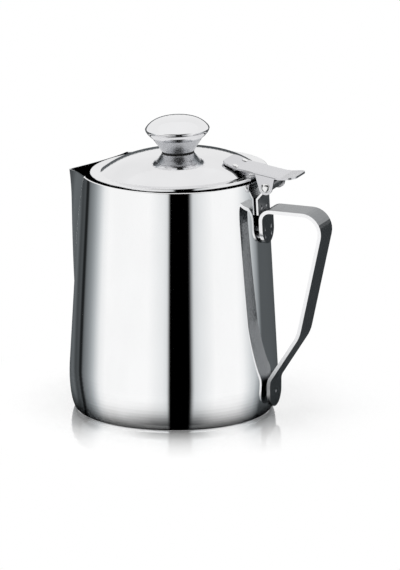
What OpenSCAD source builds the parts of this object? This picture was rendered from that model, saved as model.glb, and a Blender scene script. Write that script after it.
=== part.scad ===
// Hot milk jug with a hinged lid, pressed and welded from thin stainless sheet.
// Origin at the centre of the base, +Z up, +X towards the handle, spout at -X.

/* [Jug] */
// Height from the base to the rim
jug_h = 124.1; // [112:0.1:150]
// Outside radius of the rim
rim_r = 47.8; // [44:0.1:52]
// Outside radius at the widest place, just above the base
bulge_r = 53.55; // [52.5:0.05:60]
// Height of the widest place
bulge_z = 18.8; // [14:0.1:24]
// How far the widest place stands out beyond the flat base
base_turn = 4.05; // [2:0.05:8]
// Thickness of the sheet of the jug and its spout
wall_t = 0.9; // [0.6:0.05:1.5]

/* [Spout] */
// Height at which the ridge of the spout leaves the jug
spout_z = 40; // [30:0.5:70]
// Half angle of the spout at the rim, seen from above
spout_half = 38; // [25:0.5:39]
// How far the ridge stands out from the jug at the rim, without its flare
spout_out = 9.05; // [7:0.05:12]
// Extra flare of the ridge at the rim
spout_flare = 1.65; // [0:0.05:2.5]
// How far the lip drops from the rim to its tip
lip_drop = 4.4; // [2:0.1:8]

/* [Handle] */
// Width of the strip that the handle and the hinge post are bent from
strip_w = 16; // [12:0.5:20]
// Thickness of the handle's strip
strip_t = 1.8; // [1.2:0.1:2.4]
// Drop from the rim to the top face of the handle
handle_drop = 13.9; // [12:0.1:18]
// Reach of the upper corner beyond the rim, before it is rounded
handle_reach = 38.6; // [34:0.1:50]
// Lean of the grip from upright
grip_lean = 12.1; // [6:0.1:14]
// Height of the elbow between the grip and the lower run
elbow_z = 44.8; // [42:0.1:56]
// Height of the end of the lower tab
low_tab_z = 5.4; // [3:0.1:8]
// Length of the lower tab, from its end up to the heel where the lower run starts
low_tab_len = 14.3; // [13:0.1:18]
// Length of the upper tab, from the top face of the handle down
high_tab_len = 19.2; // [17:0.1:24]
// Gap between the tabs and the wall, bridged by the weld projections
tab_gap = 1; // [0.6:0.1:1.6]
// Radius of the bend above the upper tab
bend_r = 6; // [4:0.1:8]
// Radius of the upper corner
corner_r = 10.5; // [6:0.1:14]
// Radius of the elbow
elbow_r = 20; // [10:0.5:30]
// Radius of the bend above the lower tab
heel_r = 6; // [3:0.1:10]

/* [Hinge] */
// Distance of the pin beyond the rim
pin_out = 6.2; // [5.6:0.1:8]
// Drop of the pin below the rim
pin_drop = 2.1; // [1.5:0.1:3]
// Radius of the pin
pin_r = 1.5; // [1:0.05:1.6]
// Radius of the pin's riveted heads
head_r = 2.5; // [2:0.1:3.2]
// Height of the pin's riveted heads
head_h = 1; // [0.6:0.1:1.5]
// Thickness of the hinge post and of its knuckle
post_t = 1; // [0.7:0.05:1.2]
// How far the hinge post reaches down past the top face of the handle
post_over = 3.2; // [2:0.1:4]
// Thickness of the leaf and its ears
leaf_t = 1; // [0.7:0.05:1.3]
// Radius of the lower end of the ears
ear_r = 3.6; // [3.2:0.1:4]
// Length of the leaf from the pin towards the knob
leaf_in = 24; // [20:0.1:27]
// Length of the leaf from the pin to the thumb end
leaf_out = 15.9; // [14:0.1:18]
// Slope of the leaf to the lid
leaf_slope = 10.3; // [8:0.1:12]
// Height of the leaf's underside above the brim, over the edge of the lid
leaf_lift = 1.55; // [1.2:0.05:2]
// Rise of the thumb end to the lid
thumb_slope = 5; // [0:0.5:15]

/* [Lid] */
// How far the lid's edge lies inside the outside of the rim
lid_inset = 2.3; // [1.9:0.1:2.6]
// Distance from the pin to the near edge of the lid
lid_to_pin = 5.6; // [5.2:0.1:5.9]
// Thickness of the lid's sheet
lid_t = 0.8; // [0.6:0.05:1]
// Width of the flat brim round the dome
brim_w = 5.5; // [4:0.1:7.5]
// Depth of the brim's turned-down edge
brim_depth = 1.3; // [1.1:0.1:1.8]
// Height of the dome above the brim
dome_h = 9.1; // [8:0.1:10]
// Tilt of the resting lid, raised at the handle
lid_tilt = 2.1; // [1.5:0.01:2.4]
// Gap between the brim and the rim where they pass
seat_gap = 0.8; // [0.4:0.05:1]

/* [Knob] */
// Thickness of the dark seat between the lid and the knob
seat_t = 0.5; // [0.4:0.05:1]
// How far the seat stays inside the knob's lower edge
seat_step = 0.1; // [0.1:0.1:1.5]
// Radius of the bottom of the cone
neck_r = 8.4; // [7:0.05:9]
// Radius of the top of the cone, where its flare starts
cone_r = 12.8; // [11.5:0.1:14]
// Height of the top of the cone above the top of the lid
cone_h = 7.3; // [6:0.05:8.5]
// Radius of the cap
cap_r = 16.5; // [15:0.1:19]
// Height of the cap's widest place above the top of the lid
cap_edge_h = 12.15; // [11.2:0.05:13.5]
// Drop from the cap's widest place to the seam between the cap and the flare
seam_drop = 1.2; // [0.9:0.1:2]
// Height of the top of the knob above the top of the lid
knob_h = 18.35; // [17:0.05:20]
// Thickness of the knob's sheet
knob_t = 0.8; // [0.6:0.05:1]

/* [Knob fixing] */
// Radius of the screw's shank
screw_r = 2; // [1.5:0.1:2.5]
// Radius of the screw's head
screw_head_r = 3.6; // [3.2:0.1:4.2]
// Height of the screw's head
screw_head_h = 2.2; // [1.5:0.1:3]
// Radius of the washer
washer_r = 5; // [4.4:0.1:6]
// Thickness of the washer
washer_t = 0.8; // [0.5:0.1:1.2]
// Radius of the threaded insert
insert_r = 4; // [3.5:0.1:5]
// Length of the threaded insert
insert_len = 5.5; // [4:0.1:6]

/* [Hidden] */
$fn = 96;

// Overrun of every cut
over = 1;
// Gap at a welded or seated joint
weld_gap = 0.05;
// Radial clearance of the turning pin, of a riveted pin and of a screw hole
turn_gap = 0.05;
fit_gap = 0.03;
hole_gap = 0.3;
// Gap between the knuckle and each ear
side_gap = 0.2;
// Steps of a bend, of a rounded edge, of a long curve and of the lid's dome
bend_steps = 10;
edge_steps = 8;
curve_steps = 16;
dome_steps = 24;
// How quickly the dome falls away from its flat top
dome_curve_share = 3;

// Spout: heights of its sections, points of each side, and how its shape grows with height
spout_sections = 24;
side_points = 10;
first_share = 0.01;
growth_share = 0.6;
flare_share = 0.24;
ridge_round_share = 0.08;
ridge_wall_share = 1.15;
pinch_share = 0.75;
point_spread_share = 1.3;
lip_fall_share = 0.7;

// Weld projections: radius behind the tab, radius and depth of the dimple on its face
nub_r = 1.6;
dimple_r = 1.1;
dimple_depth = 0.4;
dot_y = 4;
high_dot_drop = 10.9;
high_dot_pitch = 3.7;
post_dot_y = 3.3;
post_dot_up = 3.3;

// Hinge post: where it leaves the wall, where it turns up to the knuckle, its bends
joggle_drop = 8.6;
joggle_top = 2.7;
joggle_r = 1.4;
slit_w = 0.3;
slit_turn = 50;

// Leaf: ears from the pin towards the knob and the thumb, rivets, corners and bends
ear_back = 5.6;
ear_front = 5;
rivet_in = 17.6;
rivet_y = 6.5;
rivet_r = 1;
rivet_head_r = 1.6;
rivet_head_h = 0.5;
leaf_bend_in = 16.5;
leaf_bend_r = 12;
thumb_bend_out = 7.4;
thumb_bend_r = 8;
leaf_corner_r = 4;
fold_r = 0.9;

// Knob: the cone's bottom plate, the curve of the flare and the roundness of the cap's top
plate_t = 1;
flare_curve_share = 1.7;
cap_side_share = 3;
cap_edge_share = 0.8;
slot_w = 1;
slot_depth = 1.1;

// Places worked out from the sizes above
base_r = bulge_r - base_turn;
knuckle_r = pin_r + turn_gap + post_t;
pin_x = rim_r + pin_out;
pin_z = jug_h - pin_drop;
lid_r = rim_r - lid_inset;
lid_x = pin_x - lid_to_pin - lid_r;
edge_x = pin_x - lid_to_pin;
leaf_w = strip_w + 2*(side_gap + leaf_t);
dome_r = lid_r - brim_w;
inner_rim_r = rim_r - wall_t;
// Where the lid's edge passes over the inside of the rim
pass_x = min((inner_rim_r*inner_rim_r - lid_r*lid_r + lid_x*lid_x)/(2*lid_x), edge_x);
// Top of the brim, before the lid is tilted about its pin
brim_z = jug_h + seat_gap + (pin_x - pass_x)*sin(lid_tilt) + brim_depth;
apex_z = brim_z + dome_h;
handle_z = jug_h - handle_drop;

function right_of(heading) = [sin(heading), -cos(heading)];
function heading(p, q) = atan2(q[1] - p[1], q[0] - p[0]);
function reversed(list) = [for (i = [len(list) - 1:-1:0]) list[i]];
function arc(centre, rx, ry, from, to, steps) =
    [for (k = [0:steps]) let (a = from + (to - from)*k/steps) centre + [rx*cos(a), ry*sin(a)]];

// A line with rounded bends, moved to its right by off; radii are those of the line itself
function bent_line(pts, radii, off) = concat(
    [pts[0] + off*right_of(heading(pts[0], pts[1]))],
    [for (i = [1:len(pts) - 2])
        let (h0 = heading(pts[i - 1], pts[i]),
             h1 = heading(pts[i], pts[i + 1]),
             turn = (h1 - h0 + 540) % 360 - 180,
             side = turn > 0 ? -1 : 1,
             r = radii[i - 1],
             start = pts[i] - r*tan(abs(turn)/2)*[cos(h0), sin(h0)],
             centre = start + side*r*right_of(h0))
        for (k = [0:bend_steps])
            centre - side*(r - side*off)*right_of(h0 + turn*k/bend_steps)],
    [pts[len(pts) - 1] + off*right_of(heading(pts[len(pts) - 2], pts[len(pts) - 1]))]);

// A strip bent in the XZ plane; its thickness lies to the right of the line
module bent_strip(pts, radii, thickness, width) {
    rotate([90, 0, 0])
        linear_extrude(width, center = true)
            polygon(concat(bent_line(pts, radii, 0), reversed(bent_line(pts, radii, thickness))));
}

// Sections of equal count, run anticlockwise seen from above, joined by triangles
module loft(sections, cap_bottom, cap_top) {
    m = len(sections[0]);
    sides = [for (i = [0:len(sections) - 2], j = [0:m - 1])
        let (a = i*m + j, b = i*m + (j + 1) % m)
        each [[a, a + m, b + m], [a, b + m, b]]];
    polyhedron(points = [for (s = sections) each s], faces = concat(cap_bottom, sides, cap_top));
}

// Where the rounded corner of the base runs on into the straight taper: the angle on the corner's
// ellipse at which a line from the rim touches it
taper_share = [(rim_r - base_r)/base_turn, (jug_h - bulge_z)/bulge_z];
taper_turn = atan2(taper_share[1], taper_share[0]) - acos(1/norm(taper_share));
taper_r = base_r + base_turn*cos(taper_turn);
taper_z = bulge_z + bulge_z*sin(taper_turn);

// Outside radius of the jug on its straight taper
function body_r(z) = taper_r - (taper_r - rim_r)*(z - taper_z)/(jug_h - taper_z);

// Rounded corner of the base up to the taper, grown outwards
function base_curve(grow) =
    arc([base_r, bulge_z], base_turn + grow, bulge_z + grow, -90, taper_turn, curve_steps);

// The jug's outside as a full solid, grown by a gap
module jug_solid(grow) {
    rotate_extrude()
        polygon(concat([[0, -grow]], base_curve(grow), [[rim_r + grow, jug_h + grow], [0, jug_h + grow]]));
}

// Share of the spout's height, from its lower end to the rim
function spout_share(z) = (z - spout_z)/(jug_h - spout_z);
function spout_angle(z) = spout_half*spout_share(z);
function flare(share) = pow(max(0, share - 1 + flare_share)/flare_share, 2);
function ridge_x(z) = body_r(z) + spout_out*pow(spout_share(z), growth_share)
    + spout_flare*flare(spout_share(z));
function section_share(i) = first_share + (1 - first_share)*pow(i/spout_sections, point_spread_share);

// Side of the spout in plan: pinched in a little between the wall and the rounded ridge
function side_of(ridge, r, a, v) =
    let (run = (sqrt(v*v + pow(ridge_round_share, 2)) - ridge_round_share)
             /(sqrt(1 + pow(ridge_round_share, 2)) - ridge_round_share))
    [-ridge + (ridge - r*cos(a))*pow(run, pinch_share), r*sin(a)*v];
function spread(j) = let (v = 1 - j/side_points) sign(v)*pow(abs(v), point_spread_share);
function spout_section(z) =
    let (a = spout_angle(z), r = body_r(z), ridge = ridge_x(z))
    concat(
        [for (j = [0:2*side_points]) let (p = side_of(ridge, r, a, spread(j))) [p[0], p[1], z]],
        [for (j = [2*side_points:-1:0])
            let (p = side_of(ridge - wall_t*ridge_wall_share, r - wall_t, a, spread(j))) [p[0], p[1], z]]);

// Everything above the falling lip
module above_lip() {
    tip_z = jug_h - lip_drop;
    tip_x = -ridge_x(tip_z);
    end_x = -rim_r*cos(spout_half);
    lip = [for (k = [0:curve_steps])
        let (u = k/curve_steps)
        [tip_x + (end_x - tip_x)*u, jug_h - lip_drop*pow(1 - u, lip_fall_share)]];
    rotate([90, 0, 0])
        linear_extrude(2*rim_r, center = true)
            polygon(concat(lip, [[end_x, jug_h + over], [tip_x - lip_drop, jug_h + over],
                                 [tip_x - lip_drop, tip_z]]));
}

// The window that the spout covers, wider than the spout by the weld gap. Its side faces are
// only as deep as the wall needs, because a deep twisted face would bend into the spout.
module spout_window() {
    gap_angle = atan(weld_gap/rim_r);
    low_share = first_share - weld_gap/(jug_h - spout_z);
    high_share = 1 + over/(jug_h - spout_z);
    far = 2*rim_r;
    sections = [for (i = [0:spout_sections])
        let (s = i == 0 ? low_share : i == spout_sections ? high_share : section_share(i),
             z = spout_z + (jug_h - spout_z)*s,
             a = spout_half*s + gap_angle,
             inner = (body_r(z) - 2*wall_t)*[cos(a), sin(a)],
             outer = (body_r(z) + 2*wall_t)*[cos(a), sin(a)])
        [[-inner[0], -inner[1], z], [-inner[0], inner[1], z], [-outer[0], outer[1], z],
         [-far, outer[1], z], [-far, -outer[1], z], [-outer[0], -outer[1], z]]];
    corners = [0:5];
    top = 6*spout_sections;
    loft(sections, [[for (k = corners) k]], [[for (k = corners) top + 5 - k]]);
}

// One pressed shell: flat base, rounded corner, straight taper and a rounded rim
module jug_body() {
    rim_edge = arc([rim_r - wall_t/2, jug_h - wall_t/2], wall_t/2, wall_t/2, 0, 180, edge_steps);
    color([0.82, 0.83, 0.85])
        difference() {
            rotate_extrude()
                polygon(concat([[0, 0]], base_curve(0), rim_edge, reversed(base_curve(-wall_t)),
                               [[0, wall_t]]));
            spout_window();
        }
}

// A folded V, butted to the edges of the window
module spout() {
    sections = [for (i = [0:spout_sections])
        spout_section(spout_z + (jug_h - spout_z)*section_share(i))];
    half = 2*side_points;
    m = 2*(half + 1);
    last = m*spout_sections;
    bottom = [for (j = [0:half - 1]) [j, j + 1, m - 2 - j, m - 1 - j]];
    top = [for (f = bottom) reversed([for (k = f) k + last])];
    color([0.80, 0.81, 0.83])
        difference() {
            loft(sections, bottom, top);
            above_lip();
        }
}

// Places of the handle's weld projections: outer face, y and z
function high_dot_places() = [for (k = [0, 1], y = [-dot_y, dot_y])
    let (z = handle_z - high_dot_drop - k*high_dot_pitch)
    [body_r(z) + tab_gap + strip_t, y, z]];
function low_dot_places() = [[bulge_r + tab_gap + strip_t, 0, low_tab_z + strip_w/2]];

module weld_nub(p, thickness) {
    depth = thickness/2 + tab_gap + base_turn;
    translate([p[0] - thickness/2 - depth, p[1], p[2]])
        rotate([0, 90, 0])
            cylinder(r = nub_r, h = depth);
}

module weld_dimple(p) {
    ball = (dimple_r*dimple_r + dimple_depth*dimple_depth)/(2*dimple_depth);
    translate([p[0] + ball - dimple_depth, p[1], p[2]])
        sphere(r = ball, $fn = 48);
}

// What is taken off to leave a full round end on a tab
module tab_corners(x, z_end) {
    r = strip_w/2;
    depth = 2*strip_t + 2*tab_gap;
    difference() {
        translate([x - depth/2, -strip_w, z_end - over])
            cube([depth, 2*strip_w, r + over]);
        translate([x - depth, 0, z_end + r])
            rotate([0, 90, 0])
                cylinder(r = r, h = 2*depth);
    }
}

// One bent strip: upper tab, top run, corner, leaning grip, elbow, lower run and lower tab
module handle() {
    tab_z = handle_z - high_tab_len;
    corner = [rim_r + handle_reach, handle_z];
    elbow = [corner[0] - (handle_z - elbow_z)*tan(grip_lean), elbow_z];
    low_x = bulge_r + tab_gap + strip_t;
    heel = [low_x, low_tab_z + low_tab_len];
    line = [[body_r(tab_z) + tab_gap, tab_z], [body_r(handle_z) + tab_gap, handle_z],
            corner, elbow, heel, [low_x, low_tab_z]];
    dots = concat(high_dot_places(), low_dot_places());
    color([0.55, 0.56, 0.58])
        difference() {
            union() {
                difference() {
                    bent_strip(line, [bend_r, corner_r, elbow_r, heel_r], strip_t, strip_w);
                    tab_corners(line[0][0] + strip_t/2, tab_z);
                    tab_corners(low_x - strip_t/2, low_tab_z);
                }
                for (p = dots) weld_nub(p, strip_t);
            }
            for (p = dots) weld_dimple(p);
            jug_solid(weld_gap);
        }
}

// A strip welded under the rim and rolled into the hinge's knuckle
module hinge_post() {
    low_z = handle_z - post_over;
    turn_z = jug_h - joggle_drop;
    face_x = pin_x - knuckle_r;
    line = [[body_r(low_z) + weld_gap, low_z], [body_r(turn_z) + weld_gap, turn_z],
            [face_x, pin_z - joggle_top], [face_x, pin_z]];
    dot_z = low_z + post_dot_up;
    dots = [for (y = [-post_dot_y, post_dot_y]) [body_r(dot_z) + weld_gap + post_t, y, dot_z]];
    color([0.42, 0.43, 0.45])
        difference() {
            union() {
                bent_strip(line, [joggle_r, joggle_r], post_t, strip_w);
                translate([pin_x, 0, pin_z])
                    rotate([90, 0, 0])
                        cylinder(r = knuckle_r, h = strip_w, center = true);
                for (p = dots) weld_nub(p, post_t);
            }
            for (p = dots) weld_dimple(p);
            translate([pin_x, 0, pin_z])
                rotate([90, 0, 0])
                    cylinder(r = pin_r + turn_gap, h = strip_w + 2*over, center = true);
            translate([pin_x, 0, pin_z])
                rotate([0, slit_turn, 0])
                    translate([0, -strip_w/2 - over, -slit_w/2])
                        cube([knuckle_r + over, strip_w + 2*over, slit_w]);
            jug_solid(weld_gap);
        }
}

// The lid and all that rides on it are drawn level, then tilted about the pin
module lid_place() {
    translate([pin_x, 0, pin_z])
        rotate([0, -lid_tilt, 0])
            translate([-pin_x, 0, -pin_z])
                children();
}

// Height of the lid's domed top above its brim, and the dome's slope, at a radius
function dome_z(r) = dome_h*(1 - pow(r/dome_r, dome_curve_share));
function dome_slope(r) = atan(dome_curve_share*dome_h*pow(r/dome_r, dome_curve_share - 1)/dome_r);
function dome_line(drop) = [for (k = [0:dome_steps])
    let (r = dome_r*k/dome_steps) [r, dome_z(r) - drop]];

// The leaf's inner part lies along the dome at the slope under its middle, and so do its rivets
inner_tilt = dome_slope(pin_x - (leaf_bend_in + leaf_in)/2 - lid_x);
rivet_x = pin_x - rivet_in;
rivet_foot_z = brim_z + dome_z(norm([rivet_x - lid_x, rivet_y]));

// Puts something at a rivet, square to the leaf's inner part
module at_rivets() {
    for (y = [-rivet_y, rivet_y])
        translate([rivet_x, y, rivet_foot_z])
            rotate([0, inner_tilt, 0])
                children();
}

// A shallow dome with a flat brim, turned down at its edge
module lid_cover() {
    edge = arc([lid_r - lid_t/2, -lid_t/2], lid_t/2, lid_t/2, 90, 0, edge_steps);
    color([0.86, 0.86, 0.87])
        lid_place()
            difference() {
                translate([lid_x, 0, brim_z])
                    rotate_extrude()
                        polygon(concat(dome_line(0), edge,
                                       [[lid_r, -brim_depth], [lid_r - lid_t, -brim_depth],
                                        [lid_r - lid_t, -lid_t]],
                                       reversed(dome_line(lid_t))));
                translate([lid_x, 0, brim_z])
                    cylinder(r = screw_r + hole_gap, h = 2*dome_h);
                at_rivets()
                    cylinder(r = rivet_r + fit_gap, h = 2*dome_h, center = true);
            }
}

// Underside of the leaf: over the edge of the brim, then bent to lie along the dome
leaf_bend_x = pin_x - leaf_bend_in;
function leaf_under(x) = brim_z + leaf_lift + (edge_x - x)*tan(leaf_slope);
function leaf_inner_under(x) = leaf_under(leaf_bend_x) + (leaf_bend_x - x)*tan(inner_tilt);
function tangent(p, c, r, side) =
    let (a = heading(c, p) + side*acos(r/norm(p - c))) c + r*[cos(a), sin(a)];

module ear(y) {
    pin = [pin_x, pin_z];
    back = [pin_x - ear_back, leaf_under(pin_x - ear_back) + leaf_t/2];
    front = [pin_x + ear_front, leaf_under(pin_x + ear_front) + leaf_t/2];
    translate([0, y + leaf_t/2, 0])
        rotate([90, 0, 0])
            linear_extrude(leaf_t) {
                polygon([back, tangent(back, pin, ear_r, 1), pin, tangent(front, pin, ear_r, -1), front]);
                translate(pin) circle(r = ear_r);
            }
}

// Seen from above the leaf has rounded corners at both ends
module leaf_plan(x0, x1) {
    w = leaf_w/2;
    r = leaf_corner_r;
    translate([0, 0, pin_z - 2*ear_r])
        linear_extrude(6*ear_r)
            polygon(concat(arc([x0 + r, r - w], r, r, 180, 270, edge_steps),
                           arc([x1 - r, r - w], r, r, 270, 360, edge_steps),
                           arc([x1 - r, w - r], r, r, 0, 90, edge_steps),
                           arc([x0 + r, w - r], r, r, 90, 180, edge_steps)));
}

// Rounds the fold between the leaf and an ear
module fold_round(side) {
    long = ear_back + ear_front + 2*leaf_t;
    start_x = pin_x - ear_back - leaf_t;
    translate([start_x, side*(leaf_w/2 - fold_r), leaf_under(start_x) + leaf_t])
        rotate([0, leaf_slope, 0])
            difference() {
                translate([0, side > 0 ? 0 : -2*fold_r, -fold_r])
                    cube([long, 2*fold_r, 2*fold_r]);
                translate([-over, 0, -fold_r])
                    rotate([0, 90, 0])
                        cylinder(r = fold_r, h = long + 2*over);
            }
}

// The leaf lies on the lid, folds down into two ears at the pin and ends in a thumb rest
module hinge_leaf() {
    thumb_x = pin_x + thumb_bend_out;
    in_x = pin_x - leaf_in;
    out_x = pin_x + leaf_out;
    line = [[in_x, leaf_inner_under(in_x)],
            [leaf_bend_x, leaf_under(leaf_bend_x)],
            [thumb_x, leaf_under(thumb_x)],
            [out_x, leaf_under(thumb_x) + (out_x - thumb_x)*tan(thumb_slope)]];
    color([0.80, 0.80, 0.82])
        lid_place()
            difference() {
                intersection() {
                    union() {
                        bent_strip(line, [leaf_bend_r, thumb_bend_r], -leaf_t, leaf_w);
                        ear((leaf_w - leaf_t)/2);
                        ear((leaf_t - leaf_w)/2);
                    }
                    leaf_plan(in_x, out_x);
                }
                fold_round(1);
                fold_round(-1);
                translate([pin_x, 0, pin_z])
                    rotate([90, 0, 0])
                        cylinder(r = pin_r + fit_gap, h = leaf_w + 2*over, center = true);
                at_rivets()
                    cylinder(r = rivet_r + fit_gap, h = 2*dome_h, center = true);
                translate([lid_x, 0, brim_z + weld_gap])
                    rotate_extrude()
                        polygon(concat(dome_line(0), [[dome_r, -brim_depth], [0, -brim_depth]]));
            }
}

// A low button head standing on z = 0
module button_head(r, h) {
    rotate_extrude()
        polygon(concat([[0, 0]], arc([0, 0], r, h, 0, 90, edge_steps)));
}

// Two rivets hold the leaf to the lid, through the small gap that the dome leaves under the leaf.
// Each head clears the bend of the leaf, and each foot the curve of the dome.
module leaf_rivets() {
    leaf_top = (leaf_inner_under(rivet_x) - rivet_foot_z)*cos(inner_tilt) + leaf_t;
    head_z = leaf_top + 4*weld_gap;
    foot_z = -lid_t - 4*weld_gap;
    color([0.75, 0.75, 0.77])
        lid_place()
            at_rivets() {
                translate([0, 0, foot_z])
                    cylinder(r = rivet_r, h = head_z - foot_z + rivet_head_h/2);
                translate([0, 0, head_z])
                    button_head(rivet_head_r, rivet_head_h);
                translate([0, 0, foot_z])
                    mirror([0, 0, 1])
                        button_head(rivet_head_r, rivet_head_h);
            }
}

// The pin turns in the knuckle and is riveted over outside both ears
module hinge_pin() {
    reach = leaf_w/2 + weld_gap;
    color([0.85, 0.85, 0.87])
        lid_place()
            translate([pin_x, 0, pin_z]) {
                rotate([90, 0, 0])
                    cylinder(r = pin_r, h = 2*reach + head_h/2, center = true);
                for (turn = [-90, 90])
                    rotate([turn, 0, 0])
                        translate([0, 0, reach])
                            button_head(head_r, head_h);
            }
}

module knob_place() {
    lid_place()
        translate([lid_x, 0, apex_z])
            children();
}

// A thin dark seat that keeps the knob from turning on the polished lid
module knob_seat() {
    color([0.08, 0.08, 0.09])
        knob_place()
            translate([0, 0, weld_gap])
                difference() {
                    cylinder(r = neck_r - seat_step, h = seat_t);
                    translate([0, 0, -over])
                        cylinder(r = screw_r + hole_gap, h = seat_t + 2*over);
                }
}

// Heights of the underside of the cone and of the insert that stands inside it
cone_low = seat_t + 2*weld_gap;
insert_low = cone_low + plate_t + weld_gap;

// The knob's side above the cone: a flare that curves up to stand upright at the widest place.
// The lower part of it belongs to the cone and the rest to the cap.
function flare_at(s) = [cone_r + (cap_r - cone_r)*(1 - pow(1 - s, flare_curve_share)),
                        cone_h + (cap_edge_h - cone_h)*s];
function flare_line(from, to) = [for (k = [0:edge_steps]) flare_at(from + (to - from)*k/edge_steps)];
function moved(list, step) = [for (p = list) p + step];

// Shares of the flare's height where the cone ends and the cap begins
seam = 1 - seam_drop/(cap_edge_h - cone_h);
cap_start = seam + weld_gap/(cap_edge_h - cone_h);

// A satin cone that widens from the seat and flares out to the cap
module knob_cone() {
    flare_out = flare_line(0, seam);
    color([0.60, 0.61, 0.63])
        knob_place()
            rotate_extrude()
                polygon(concat([[screw_r + hole_gap, cone_low], [neck_r, cone_low]],
                               flare_out,
                               reversed(moved(flare_out, [-knob_t, 0])),
                               [[neck_r - knob_t, cone_low + plate_t],
                                [screw_r + hole_gap, cone_low + plate_t]]));
}

// The cap's rounded top, from the widest place to the middle, drawn inset by the sheet's thickness
function cap_top(inset) = [for (k = [0:dome_steps])
    let (a = 90*k/dome_steps)
    [(cap_r - inset)*pow(cos(a), 2/cap_side_share),
     cap_edge_h + (knob_h - inset - cap_edge_h)*pow(sin(a), 2*cap_edge_share)]];

// A spun mirror cap: rounded top and a turned-in edge that meets the flare
module knob_cap() {
    flare_out = flare_line(cap_start, 1);
    color([0.88, 0.88, 0.90])
        knob_place()
            rotate_extrude()
                polygon(concat(flare_out, cap_top(0), reversed(cap_top(knob_t)),
                               reversed(moved(flare_out, [-knob_t, 0]))));
}

// The threaded insert stands on the plate of the cone
module knob_insert() {
    color([0.70, 0.62, 0.35])
        knob_place()
            translate([0, 0, insert_low])
                difference() {
                    cylinder(r = insert_r, h = insert_len);
                    translate([0, 0, -over])
                        cylinder(r = screw_r + turn_gap, h = insert_len - plate_t + over);
                }
}

// Flat washer under the lid
washer_top = dome_z(washer_r) - dome_h - lid_t - weld_gap;

module knob_washer() {
    color([0.70, 0.70, 0.72])
        knob_place()
            translate([0, 0, washer_top - washer_t])
                difference() {
                    cylinder(r = washer_r, h = washer_t);
                    translate([0, 0, -over])
                        cylinder(r = screw_r + hole_gap, h = washer_t + 2*over);
                }
}

// Slotted screw, driven from under the lid into the insert
module knob_screw() {
    seat = washer_top - washer_t - weld_gap;
    end = insert_low + insert_len - 2*plate_t;
    color([0.66, 0.66, 0.68])
        knob_place()
            difference() {
                union() {
                    translate([0, 0, seat - screw_head_h])
                        cylinder(r = screw_head_r, h = screw_head_h);
                    translate([0, 0, seat - screw_head_h/2])
                        cylinder(r = screw_r, h = end - seat + screw_head_h/2);
                }
                translate([-screw_head_r - over, -slot_w/2, seat - screw_head_h - over])
                    cube([2*(screw_head_r + over), slot_w, slot_depth + over]);
            }
}

jug_body();
spout();
handle();
hinge_post();
lid_cover();
hinge_leaf();
leaf_rivets();
hinge_pin();
knob_seat();
knob_cone();
knob_cap();
knob_insert();
knob_screw();
knob_washer();
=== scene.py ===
# %% [markdown]
# # A polished milk jug on a white table
# The jug is thin stainless sheet, pressed, welded and polished until it is a mirror. A mirror has
# no colour of its own: nearly all of its looks are the room that it shows. So this lesson is about
# two things: the finish of each kind of steel, and a studio of white walls with dark gaps for the
# steel to show. The shapes, down to the welds and the rivets, all come with the frame.

# %% The fixed frame
import math

import bmesh
import bpy
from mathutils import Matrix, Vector


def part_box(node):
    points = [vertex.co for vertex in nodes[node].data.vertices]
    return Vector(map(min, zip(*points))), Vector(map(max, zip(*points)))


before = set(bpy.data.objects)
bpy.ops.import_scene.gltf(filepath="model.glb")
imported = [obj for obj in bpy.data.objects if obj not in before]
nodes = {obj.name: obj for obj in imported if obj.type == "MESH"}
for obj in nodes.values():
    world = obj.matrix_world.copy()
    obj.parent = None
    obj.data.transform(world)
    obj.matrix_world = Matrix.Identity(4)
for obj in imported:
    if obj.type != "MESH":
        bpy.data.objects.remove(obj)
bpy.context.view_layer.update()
print("nodes:", sorted(nodes))

# %% [markdown]
# ## Where things are
# The jug stands on the origin. The lid and the knob are a little off its axis, and both are round,
# so the middle of each one's box gives its own axis. Because this is read from the frame, nothing
# has to be fitted again when the model changes.

# %% Axes and width, taken from the frame
def axis_of(name):
    """The upright axis of a round piece, which lies on the plane y = 0 as the whole jug does."""
    low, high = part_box(name)
    return Vector(((low.x + high.x) / 2, 0, 0))


jug_low, jug_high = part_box("jug_body")
jug_radius = (jug_high.x - jug_low.x) / 2
lid_axis = axis_of("lid_cover")
knob_axis = axis_of("knob_cap")
print("jug radius", jug_radius, "lid axis at", lid_axis.x, "knob axis at", knob_axis.x)

# %% [markdown]
# ## The camera
# The photograph was taken from far away with a long lens, a little above the table and turned
# towards the handle. With a long lens upright edges stay nearly upright, so the camera stands five
# metres off, and its field is cut down to the jug. The jug isn't in the middle of the picture, and
# a small lens shift puts it where it belongs without turning the camera.

# %% Camera at the photograph's angle
PICTURE_W, PICTURE_H = 400, 570
TURN = math.radians(22.0)
RISE = math.radians(14.62)
FAR = 5.1
SENSOR = 36.0
AIM = Vector((0, 0, 0.06324))
# At the aim point a metre covers this many pixels
PIXELS_PER_METRE = 1949.8
# Where the aim point falls in the picture, in pixels from its left and top
AIM_PX, AIM_PY = 173.71, 285.82

away = Vector((math.sin(TURN) * math.cos(RISE), -math.cos(TURN) * math.cos(RISE), math.sin(RISE)))
camera_data = bpy.data.cameras.new("camera")
camera_data.sensor_width = SENSOR
camera_data.lens = PIXELS_PER_METRE * FAR / PICTURE_H * SENSOR
camera_data.shift_x = (PICTURE_W / 2 - AIM_PX) / PICTURE_H
camera_data.shift_y = (AIM_PY - PICTURE_H / 2) / PICTURE_H
camera = bpy.data.objects.new("camera", camera_data)
camera.location = AIM + FAR * away
camera.rotation_euler = away.to_track_quat("Z", "Y").to_euler()
bpy.context.scene.collection.objects.link(camera)
bpy.context.scene.camera = camera
print("lens", round(camera_data.lens), "mm")

# %% [markdown]
# ## Building a material
# Each finish is a small tree of nodes. Typed out in full, a tree is long and hard to read, so four
# small helpers do the work: they start a material, give a socket a plain value or another node's
# output, add a node with all its sockets at once, and put the material on pieces of the frame.

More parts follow.
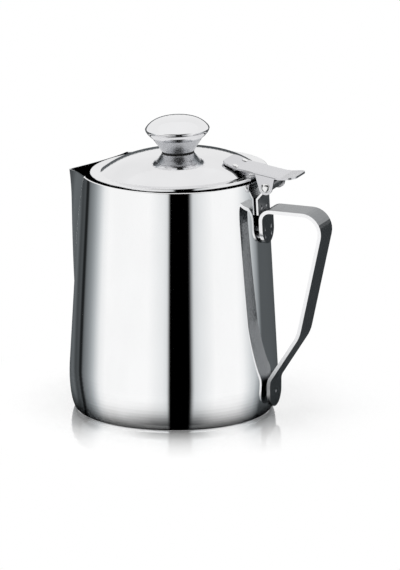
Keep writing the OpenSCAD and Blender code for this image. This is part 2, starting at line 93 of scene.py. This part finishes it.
# %% Helpers for materials and nodes
def new_material(name):
    """A material and its Principled shader."""
    material = bpy.data.materials.new(name)
    material.use_nodes = True
    return material, material.node_tree.nodes["Principled BSDF"]


def feed(owner, socket, value):
    """Gives a socket of a material or the world a plain value, or joins a node's output to it."""
    if isinstance(value, bpy.types.NodeSocket):
        owner.node_tree.links.new(value, socket)
    else:
        socket.default_value = value


def add_node(owner, kind, sockets, **settings):
    """A node with its settings; its sockets are fed by name or number."""
    node = owner.node_tree.nodes.new("ShaderNode" + kind)
    for key, value in settings.items():
        setattr(node, key, value)
    for socket, value in sockets.items():
        feed(owner, node.inputs[socket], value)
    return node


def dress(names, material):
    """Puts a material in every slot of some of the frame's pieces."""
    for name in names:
        for slot in nodes[name].material_slots:
            slot.material = material
    print(material.name, "on", ", ".join(names))

# %% [markdown]
# ## Patterns
# A pattern on steel is small: the greys of a noise become a colour, a dullness or the height of
# a bump. All patterns read Object coordinates. The frame's pieces sit at the origin, so these are
# real metres, and a pattern keeps its scale whatever the piece is.

# %% Helpers for patterns
def object_place(material, scale=(1, 1, 1), location=(0, 0, 0)):
    """Object coordinates in metres, stretched and moved by a Mapping node."""
    place = add_node(material, "TexCoord", {})
    sockets = {"Vector": place.outputs["Object"], "Scale": scale, "Location": location}
    return add_node(material, "Mapping", sockets).outputs["Vector"]


def noise(material, place, scale, detail):
    """Soft random greys, with about as many spots to the metre as the scale says."""
    sockets = {"Vector": place, "Scale": scale, "Detail": detail}
    return add_node(material, "TexNoise", sockets).outputs["Fac"]


def ramp(material, value, stops):
    """Turns a number from 0 to 1 into greys or colours: each stop is a place and what it gives."""
    node = add_node(material, "ValToRGB", {"Fac": value})
    elements = node.color_ramp.elements
    # A new stop may start anywhere, because its place is set below
    while len(elements) < len(stops):
        elements.new(0.5)
    for element, (place, shade) in zip(elements, stops):
        element.position = place
        element.color = (shade, shade, shade, 1) if isinstance(shade, float) else (*shade, 1)
    return node.outputs["Color"]


def bump(material, shader, height, strength, distance):
    """Waves or grooves that only the light sees; distance is their height in metres."""
    node = add_node(material, "Bump", {"Height": height, "Strength": strength, "Distance": distance})
    feed(material, shader.inputs["Normal"], node.outputs["Normal"])

# %% [markdown]
# ## Mirror-polished sheet
# The jug is buffed on a wheel, which leaves two faint marks of its making. One is the waviness of
# pressed sheet: a broad, weak bump, which makes the edges of a reflection wander a little. The
# other is patches that are a touch darker and duller than the rest, taller than they are wide. They
# come from a noise in the colour and the roughness, kept small so that it still reads as a mirror.

# %% Polished steel for the jug and its spout
# Spots to the metre and detail of the waves and the patches, and how strong a bump the waves make
WAVE_SCALE, WAVE_DETAIL, WAVE_STRENGTH = 9.0, 1.0, 0.35
PATCH_SCALE, PATCH_DETAIL = 60.0, 4.0
PATCH_STRETCH = (1, 1, 0.4)
# A noise seldom comes near 0 or 1, so a patch has its full colour or dullness at these greys
COLOUR_FROM, COLOUR_TO = 0.35, 0.65
DULL_FROM, DULL_TO = 0.3, 0.75
# The darkest patch as a share of the colour, and the least and most dull as shares of the dullness
SHEET_DARK_SHARE = 0.965
SHEET_DULL_SHARES = (0.6, 1.5)


def patchy_metal(material, shader, patches, colour, dull, dark_share, dull_shares):
    """Metal that changes a little in colour and in dullness from patch to patch."""
    darkest = tuple(dark_share * part for part in colour)
    least, most = (share * dull for share in dull_shares)
    feed(material, shader.inputs["Metallic"], 1.0)
    feed(material, shader.inputs["Base Color"],
         ramp(material, patches, [(COLOUR_FROM, darkest), (COLOUR_TO, colour)]))
    feed(material, shader.inputs["Roughness"],
         ramp(material, patches, [(DULL_FROM, least), (DULL_TO, most)]))


def polished_steel(name, colour, dull, wave):
    """Buffed sheet with waves of this height in metres."""
    material, shader = new_material(name)
    patches = noise(material, object_place(material, PATCH_STRETCH), PATCH_SCALE, PATCH_DETAIL)
    patchy_metal(material, shader, patches, colour, dull, SHEET_DARK_SHARE, SHEET_DULL_SHARES)
    waves = noise(material, object_place(material), WAVE_SCALE, WAVE_DETAIL)
    bump(material, shader, waves, WAVE_STRENGTH, wave)
    return material


dress(["jug_body", "spout"],
      polished_steel("mirror_sheet", colour=(0.945, 0.948, 0.952), dull=0.045, wave=0.0006))

# %% [markdown]
# ## The lid
# The lid is spun from the same sheet and polished nearly as bright: the knob is mirrored in it,
# upside down and a little smaller, because the dome is a convex mirror. The wheel leaves shallow
# rings round the knob. They are a Wave texture of the Rings kind, centred on the lid's axis by a
# Mapping node, and only thousandths of a millimetre deep.

# %% Softer polish with turned rings for the lid
# Metres from one ring to the next
RING_PITCH = 0.005655
# At a scale of 1 a Wave texture turns through this many radians in a metre
RADIANS_PER_METRE = 20
RING_WOBBLE, RING_DETAIL, RING_STRENGTH = 0.4, 2.0, 0.25
TURNED_SCALE, TURNED_DETAIL = 45.0, 4.0
TURNED_DARK_SHARE = 0.95
TURNED_DULL_SHARES = (0.75, 1.3)


def turned_steel(name, colour, dull, axis, depth):
    """Metal with turned rings of this depth in metres round an upright axis."""
    material, shader = new_material(name)
    patches = noise(material, object_place(material), TURNED_SCALE, TURNED_DETAIL)
    patchy_metal(material, shader, patches, colour, dull, TURNED_DARK_SHARE, TURNED_DULL_SHARES)
    sockets = {
        "Vector": object_place(material, location=-axis),
        "Scale": 2 * math.pi / (RADIANS_PER_METRE * RING_PITCH),
        "Distortion": RING_WOBBLE,
        "Detail": RING_DETAIL,
    }
    rings = add_node(material, "TexWave", sockets, wave_type="RINGS", rings_direction="Z")
    bump(material, shader, rings.outputs["Fac"], RING_STRENGTH, depth)
    return material


dress(["lid_cover"],
      turned_steel("lid_polish", colour=(0.82, 0.82, 0.83), dull=0.08, axis=lid_axis, depth=0.000002))

# %% [markdown]
# ## The knob
# The knob shows three pieces. Its cap is a mirror, and the cone below it is left satin by fine
# emery, so it holds a soft grey with a dark streak down its front. The satin comes from a higher
# roughness and from rings that are deeper than the lid's. The lip of the cone is buffed together
# with the cap, so beyond a certain radius the satin turns bright and smooth.

# %% Mirror and satin for the knob
# Metres from the knob's axis over which satin turns into polish
BUFFED_FROM, BUFFED_TO = 0.0136, 0.0141
BUFFED_COLOUR = (0.9, 0.9, 0.91, 1)
BUFFED_DULL = (0.05, 0.05, 0.05, 1)


def between(owner, value, start, end, low=0.0, high=1.0, **settings):
    """Goes from low to high as a value goes from start to end."""
    sockets = {"Value": value, "From Min": start, "From Max": end, "To Min": low, "To Max": high}
    return add_node(owner, "MapRange", sockets, **settings).outputs["Result"]


def mix(owner, share, first, second, **settings):
    """Goes from the first colour to the second as a share goes from 0 to 1."""
    sockets = {"Factor": share, "A": first, "B": second}
    return add_node(owner, "Mix", sockets, data_type="RGBA", **settings).outputs["Result"]


def buff_lip(material, axis):
    """Makes a turned piece bright and smooth beyond a radius from its axis."""
    shader = material.node_tree.nodes["Principled BSDF"]
    level_place = object_place(material, scale=(1, 1, 0), location=-axis)
    radius = add_node(material, "VectorMath", {0: level_place}, operation="LENGTH").outputs["Value"]
    buffed = between(material, radius, BUFFED_FROM, BUFFED_TO)
    for name, bright in (("Base Color", BUFFED_COLOUR), ("Roughness", BUFFED_DULL)):
        socket = shader.inputs[name]
        satin = socket.links[0].from_socket
        feed(material, socket, mix(material, buffed, satin, bright))


dress(["knob_cap"],
      polished_steel("knob_mirror", colour=(0.84, 0.84, 0.85), dull=0.07, wave=0.0001))
knob_satin = turned_steel("knob_satin", colour=(0.60, 0.61, 0.63), dull=0.24,
                          axis=knob_axis, depth=0.00002)
buff_lip(knob_satin, knob_axis)
dress(["knob_cone"], knob_satin)

# %% [markdown]
# ## The knob's seat
# Between the cone and the lid lies a thin seat, coloured near black: painted shade for the dark ring at the
# knob's foot. The seat is dull and never quite even, so one fine noise makes its colour, its roughness and
# a shallow bump.

# %% Painted shade: a near-black seat at the knob's foot
MOTTLE_SCALE, MOTTLE_DETAIL = 900.0, 2.0
MOTTLE_FROM, MOTTLE_TO = 0.3, 0.7
MOTTLE_STRENGTH, MOTTLE_DEPTH = 0.3, 0.00005
SEAT_SHADE_BLACKS = (0.012, 0.03)
SEAT_DULLS = (0.55, 0.75)

# The seat's near-black colour is painted shade for the dark ring at the knob's foot
seat_painted_shade, shader = new_material("seat_painted_shade")
mottle = noise(seat_painted_shade, object_place(seat_painted_shade), MOTTLE_SCALE, MOTTLE_DETAIL)
for name, (low, high) in (("Base Color", SEAT_SHADE_BLACKS), ("Roughness", SEAT_DULLS)):
    mottled = ramp(seat_painted_shade, mottle, [(MOTTLE_FROM, low), (MOTTLE_TO, high)])
    feed(seat_painted_shade, shader.inputs[name], mottled)
bump(seat_painted_shade, shader, mottle, MOTTLE_STRENGTH, MOTTLE_DEPTH)
dress(["knob_seat"], seat_painted_shade)

# %% [markdown]
# ## Strip for the handle and the hinge
# The handle and the hinge's post are cut from rolled strip. Its faces keep the mill's grey satin,
# with a grain that runs along the strip, and its edges are ground bright where a hand would feel
# them. Both are one material: the edges face along Y, so the normal's Y part tells them apart from
# the faces. The grain is a noise that is squeezed across the strip and left long down it.

# %% Satin strip with bright ground edges
# How far a surface has to face along Y to count as an edge
EDGE_FROM, EDGE_TO = 0.55, 0.75
EDGE_COLOUR = (0.93, 0.93, 0.94, 1)
EDGE_DULL = 0.22
GRAIN_STRETCH = (60, 1400, 60)
GRAIN_SCALE, GRAIN_DETAIL, GRAIN_STRENGTH, GRAIN_DEPTH = 1.0, 3.0, 0.3, 0.00002
CLOUD_SCALE, CLOUD_DETAIL = 140.0, 4.0
CLOUD_DARK_SHARE = 0.8


def math_step(owner, operation, *values):
    """One Math node on numbers or other nodes' outputs."""
    return add_node(owner, "Math", dict(enumerate(values)), operation=operation).outputs["Value"]


def strip_steel(name, face, face_dull):
    """Strip with satin faces of this colour and dullness, and bright edges."""
    material, shader = new_material(name)
    geometry = add_node(material, "NewGeometry", {})
    facing = add_node(material, "SeparateXYZ", {"Vector": geometry.outputs["True Normal"]})
    sideways = math_step(material, "ABSOLUTE", facing.outputs["Y"])
    edge = between(material, sideways, EDGE_FROM, EDGE_TO)
    clouds = noise(material, object_place(material), CLOUD_SCALE, CLOUD_DETAIL)
    darkest = [CLOUD_DARK_SHARE * part for part in face]
    cloudy_face = mix(material, clouds, (*darkest, 1), (*face, 1))
    feed(material, shader.inputs["Metallic"], 1.0)
    feed(material, shader.inputs["Base Color"], mix(material, edge, cloudy_face, EDGE_COLOUR))
    feed(material, shader.inputs["Roughness"],
         between(material, edge, 0.0, 1.0, low=face_dull, high=EDGE_DULL))
    grain = noise(material, object_place(material, GRAIN_STRETCH), GRAIN_SCALE, GRAIN_DETAIL)
    bump(material, shader, grain, GRAIN_STRENGTH, GRAIN_DEPTH)
    return material


dress(["handle"], strip_steel("strip_satin", face=(0.26, 0.27, 0.28), face_dull=0.24))
dress(["hinge_post"], strip_steel("post_satin", face=(0.36, 0.37, 0.38), face_dull=0.32))

# %% [markdown]
# ## Leaf, pin and rivets
# The leaf is folded from thinner strip and polished after it is bent, so it is the jug's finish
# again, only greyer, duller and more wavy. The pin and the rivets are bright wire.

# %% Polished steel for the hinge
dress(["hinge_leaf"],
      polished_steel("leaf_polish", colour=(0.66, 0.66, 0.68), dull=0.20, wave=0.0010))
dress(["hinge_pin", "leaf_rivets"],
      polished_steel("pin_polish", colour=(0.88, 0.88, 0.88), dull=0.12, wave=0.0001))

# %% [markdown]
# ## Inside the knob
# The screw and its washer show only from under the open lid: plain bright steel with the marks of
# the lathe. The insert is brass, as threads that are pressed into a light knob often are.

# %% Screw, washer and insert
dress(["knob_screw", "knob_washer"],
      turned_steel("screw_plain", colour=(0.68, 0.68, 0.67), dull=0.30, axis=knob_axis, depth=0.00002))
dress(["knob_insert"],
      turned_steel("insert_brass", colour=(0.80, 0.62, 0.30), dull=0.25, axis=knob_axis, depth=0.00002))

# %% [markdown]
# ## Helpers for the stage
# The table and the dark panels are stage: they belong to the picture and not to the jug. Both the
# table and the room have to look white without throwing more light on the jug, and the Light Path
# node tells the two apart: it knows whether the camera or a mirror is looking, or light is only
# being gathered for a dull surface.

# %% Stage objects, and what mirrors are shown
def stage_object(name, shape, material):
    """A bmesh as an object of its own."""
    mesh = bpy.data.meshes.new(name)
    shape.to_mesh(mesh)
    shape.free()
    mesh.materials.append(material)
    piece = bpy.data.objects.new(name, mesh)
    bpy.context.scene.collection.objects.link(piece)
    print(name, "faces:", len(mesh.polygons))
    return piece


def shown_to_mirrors(owner):
    """1 for what the camera, a mirror or glass sees, and 0 for the light on dull surfaces."""
    path = add_node(owner, "LightPath", {})
    seen = path.outputs["Is Camera Ray"]
    for name in ("Is Glossy Ray", "Is Transmission Ray"):
        seen = math_step(owner, "MAXIMUM", seen, path.outputs[name])
    return seen


def distance_out(material):
    """How far a point is from the origin, at the middle of the jug's foot."""
    sockets = {0: object_place(material)}
    return add_node(material, "VectorMath", sockets, operation="LENGTH").outputs["Value"]

# %% [markdown]
# ## The table
# The jug stands on a glossy white sheet, lit by the lamp, which holds the jug's soft shadow and its
# mirror image. In the photograph the image is strong where jug and sheet touch and gone a few
# centimetres out, so gloss and mirror both read the distance from the jug's axis.

# %% White glossy sheet
WHITE = (1, 1, 1, 1)
TABLE_COLOUR = (0.9, 0.9, 0.9, 1)
TABLE_DULL = 0.05
# The sheet's own faint light, as seen by the camera and by mirrors
LIFT = 0.07
# Gloss at the jug's foot
GLOSS = 0.9
# Metres from the axis over which the gloss and the mirror die away
GLOSS_FROM, GLOSS_TO = 0.055, 0.105
MIRROR_FROM, MIRROR_TO = 0.052, 0.084
# Share of the way out, and how much of a mirror the sheet is there
MIRROR = [(0.0, 0.70), (0.28, 0.45), (0.5, 0.2), (0.75, 0.07), (1.0, 0.0)]

white_table, shader = new_material("white_table")
seen = shown_to_mirrors(white_table)
distance = distance_out(white_table)
table_looks = {
    "Base Color": TABLE_COLOUR,
    "Roughness": TABLE_DULL,
    "Specular IOR Level": between(white_table, distance, GLOSS_FROM, GLOSS_TO, low=GLOSS, high=0.0,
                                  interpolation_type="SMOOTHSTEP"),
    "Metallic": ramp(white_table, between(white_table, distance, MIRROR_FROM, MIRROR_TO), MIRROR),
    "Emission Color": WHITE,
    "Emission Strength": math_step(white_table, "MULTIPLY", seen, LIFT),
}
for name, value in table_looks.items():
    feed(white_table, shader.inputs[name], value)
print("mirror from", MIRROR_FROM, "to", MIRROR_TO, "m")

# %% [markdown]
# ## The fade
# Further out the sheet fades to plain white, the white of the room behind, so that no edge or
# horizon shows from any side. The sheet itself is a flat grid of one face, far wider than any view.

# %% Sheet that fades into the background
TABLE_HALF = 9.0
# Metres from the axis over which the sheet turns plain white
FADE_FROM, FADE_TO = 0.062, 0.125

fade = between(white_table, distance, FADE_FROM, FADE_TO, interpolation_type="SMOOTHSTEP")
plain_white = add_node(white_table, "Emission", {"Strength": seen})
sheet = add_node(white_table, "MixShader", {0: fade, 1: shader.outputs[0], 2: plain_white.outputs[0]})
feed(white_table, white_table.node_tree.nodes["Material Output"].inputs["Surface"], sheet.outputs[0])

shape = bmesh.new()
bmesh.ops.create_grid(shape, x_segments=1, y_segments=1, size=TABLE_HALF)
stage_object("table", shape, white_table)

# %% [markdown]
# ## White room, dark panels
# A mirror has to be given something to mirror. A photographer stands white walls round a polished
# jug, and leaves dark gaps: one behind the camera, which is the black stripe down the front, and
# one at each side, which darken the edges of the jug and so draw its outline. Here the room is the
# white world, and the gaps are one panel that runs round the jug, lies on the table and stands up
# as a wall. It is clear where the room is white, and dark where a gap is. The material has four
# parts, made one by one below: gaps, shade at the foot, the wall above, and a clear back.

# %% Colours by the angle round the jug
dark_panels, _ = new_material("dark_panels")
place = add_node(dark_panels, "TexCoord", {}).outputs["Object"]
# A Radial gradient goes once from 0 to 1 round the jug and is halfway at +X, so it is turned until
# the camera's side lies there
HALFWAY = 0.5
FULL_TURN = 360
camera_to_x = math.pi / 2 - TURN
turned = add_node(dark_panels, "Mapping", {"Vector": place, "Rotation": (0, 0, camera_to_x)})
sockets = {"Vector": turned.outputs["Vector"]}
around = add_node(dark_panels, "TexGradient", sockets, gradient_type="RADIAL").outputs["Fac"]


def round_the_jug(stops):
    """Stops at angles from the camera, in degrees to the right, as places on a ramp."""
    return [(HALFWAY + angle / FULL_TURN, shade) for angle, shade in stops]


print("panels turned by", round(math.degrees(camera_to_x)), "degrees")

# %% [markdown]
# ## Gaps by angle
# Each number says how much of the white room comes through at an angle. The half-dark parts are
# a touch blue, as in the photograph, while black and white stay neutral. A plain fan of gaps
# would flare on the jug, because a round mirror sees the near floor under a smaller angle than the
# far floor. For a jug of radius R and a floor point at r that share is 1 - R / 2r, and dividing the
# angle by it keeps a gap upright on the jug.

# %% The gaps
# Angle from the camera, in degrees to the right, and how much of the white comes through
GAPS = [
    # Dark behind the spout, and darkest in a narrow line
    (-180, 0.11), (-160, 0.14), (-148, 0.06), (-138, 0.08), (-134, 0.015), (-129, 0.015),
    # Clearing slowly to the white wall on the left
    (-125, 0.15), (-122, 0.19), (-115, 0.27), (-109, 0.38), (-103, 0.54), (-98, 0.72), (-93, 0.89),
    (-84, 1.0), (-30, 1.0),
    # The black stripe, with a soft edge on each side
    (-12, 0.85), (-7.5, 0.76), (-4.5, 0.0), (18.0, 0.0), (23.0, 0.70), (30, 0.82),
    # The white wall on the right, and slowly back to dark behind the handle
    (48, 1.0), (78, 1.0), (85, 0.95), (92, 0.82), (98, 0.70), (104, 0.60), (109, 0.46), (115, 0.31),
    (121, 0.10), (140, 0.10), (180, 0.08),
]
LESS_RED, MORE_BLUE = 0.10, 0.06


def cool(grey):
    """A touch blue halfway from black to white, and neutral at both."""
    red = grey * (1 - LESS_RED * (1 - grey))
    blue = grey * (1 + MORE_BLUE * (1 - grey))
    return (red, grey, blue)


distance = distance_out(dark_panels)
half_jug = math_step(dark_panels, "DIVIDE", jug_radius / 2, distance)
narrower = math_step(dark_panels, "SUBTRACT", 1.0, half_jug)
off_centre = math_step(dark_panels, "SUBTRACT", around, HALFWAY)
spread = math_step(dark_panels, "DIVIDE", off_centre, narrower)
upright = math_step(dark_panels, "ADD", spread, HALFWAY)
gaps = ramp(dark_panels, upright, round_the_jug([(angle, cool(grey)) for angle, grey in GAPS]))
print(len(GAPS), "stops round the jug")

# %% [markdown]
# ## Shade at the foot
# The round corner at the jug's foot mirrors the table just beside it, which is darker there than
# the room. The panel gives this shade to the first reflection only. The jug's image in the table
# is a second one, seen after the ray has turned at the table and at the jug, and there the Glossy
# Depth of the Light Path node leaves the shade out.

# %% The shade
# It starts at the panel's near edge, just outside the jug's flat base
PANEL_NEAR = 0.0498
SHADE_SPAN = 0.06
# Share of that span, and how much of the white comes through
SHADE = [
    (0.0, 0.06), (0.046, 0.175), (0.097, 0.37), (0.158, 0.565), (0.23, 0.71), (0.295, 0.82),
    (0.40, 0.90), (0.50, 0.957), (1.0, 1.0),
]
# A ray that has turned once is under this depth, and one that has turned twice is over it
ONCE_TO_TWICE = 1.5

turns = add_node(dark_panels, "LightPath", {}).outputs["Glossy Depth"]
turned_twice = math_step(dark_panels, "GREATER_THAN", turns, ONCE_TO_TWICE)
way_out = between(dark_panels, distance, PANEL_NEAR, PANEL_NEAR + SHADE_SPAN)
shade = mix(dark_panels, turned_twice, ramp(dark_panels, way_out, SHADE), WHITE)
shaded_gaps = mix(dark_panels, 1.0, gaps, shade, blend_type="MULTIPLY")
print("shade reaches", PANEL_NEAR + SHADE_SPAN, "m from the axis")

# %% [markdown]
# ## The wall above the gaps
# Only the knob and the lid look up there. The wall is dark on the camera's side and nearly white
# elsewhere: that is the dark line on the knob's cap and the dark streak down its cone.

# %% The wall above
GAPS_TOP = 0.235
# Angle from the camera, in degrees to the right, and how much of the white comes through
UPPER = [
    (-180, 0.95), (-62, 1.0), (-42, 0.55), (-26, 0.12), (-5, 0.03), (18, 0.03), (30, 0.12), (42, 0.55),
    (60, 1.0), (180, 0.95),
]

height = add_node(dark_panels, "SeparateXYZ", {"Vector": place}).outputs["Z"]
above = math_step(dark_panels, "GREATER_THAN", height, GAPS_TOP)
upper = ramp(dark_panels, around, round_the_jug(UPPER))
let_through = mix(dark_panels, above, shaded_gaps, upper)
print("gaps up to", GAPS_TOP, "m")

# %% [markdown]
# ## A film that is clear from behind
# The panel's material is a film that darkens the white room behind it. It lies just over the
# table, so a ray that the table mirrors comes up through it from below. That ray has to pass, and
# the film is clear on its back.

# %% The film
backfacing = add_node(dark_panels, "NewGeometry", {}).outputs["Backfacing"]
film = add_node(dark_panels, "BsdfTransparent", {"Color": mix(dark_panels, backfacing, let_through, WHITE)})
feed(dark_panels, dark_panels.node_tree.nodes["Material Output"].inputs["Surface"], film.outputs[0])
print("film made of", len(dark_panels.node_tree.nodes), "nodes")

# %% [markdown]
# ## The panel's shape
# In section the panel is an L, from the jug's foot along the table and up as a wall. One spin takes
# it round the jug. Its switches leave it visible to mirrors alone, so it hides nothing from any
# camera and takes no light away.

# %% Panel spun round the jug
PANEL_FAR = 1.0
# Just clear of the table
PANEL_LIFT = 0.0002
WALL_TOP = 1.15
PANEL_STEPS = 96

shape = bmesh.new()
section = [(PANEL_NEAR, PANEL_LIFT), (PANEL_FAR, PANEL_LIFT), (PANEL_FAR, WALL_TOP)]
points = [shape.verts.new((out, 0, up)) for out, up in section]
lines = [shape.edges.new(pair) for pair in zip(points, points[1:])]
bmesh.ops.spin(shape, geom=points + lines, cent=(0, 0, 0), axis=(0, 0, 1), angle=2 * math.pi,
               steps=PANEL_STEPS, use_merge=True)
# The floor has to face up and the wall inwards, because their backs are clear
faces_in = sum(face.normal.z for face in shape.faces) > 0
if not faces_in:
    bmesh.ops.reverse_faces(shape, faces=shape.faces)
panels = stage_object("dark_panels", shape, dark_panels)
for unseen in ("visible_camera", "visible_diffuse", "visible_transmission", "visible_shadow",
               "visible_volume_scatter"):
    setattr(panels, unseen, False)

# %% [markdown]
# ## Room light
# The world is a plain white room: strength 1 for the camera and for mirrors, so the background is
# white, and a little less for the light on dull surfaces. One broad lamp overhead, which mirrors
# don't see, gives the table its soft shadow.

# %% White world and one soft lamp
ROOM_LIGHT = 0.72
LAMP_WATTS = 24.0
LAMP_SIZE = 2.6
LAMP_PLACE = Vector((-0.05, -0.25, 1.9))

world = bpy.data.worlds.new("white_room")
bpy.context.scene.world = world
world.use_nodes = True
background = world.node_tree.nodes["Background"]
feed(world, background.inputs["Color"], WHITE)
strength = between(world, shown_to_mirrors(world), 0.0, 1.0, low=ROOM_LIGHT, high=1.0)
feed(world, background.inputs["Strength"], strength)

lamp_data = bpy.data.lights.new("soft_lamp", "AREA")
lamp_data.shape = "SQUARE"
lamp_data.size = LAMP_SIZE
lamp_data.energy = LAMP_WATTS
lamp = bpy.data.objects.new("soft_lamp", lamp_data)
lamp.location = LAMP_PLACE
lamp.rotation_euler = (LAMP_PLACE - AIM).to_track_quat("Z", "Y").to_euler()
lamp.visible_glossy = False
bpy.context.scene.collection.objects.link(lamp)
bpy.context.scene.view_settings.view_transform = "Standard"
print("lamp", LAMP_WATTS, "W")
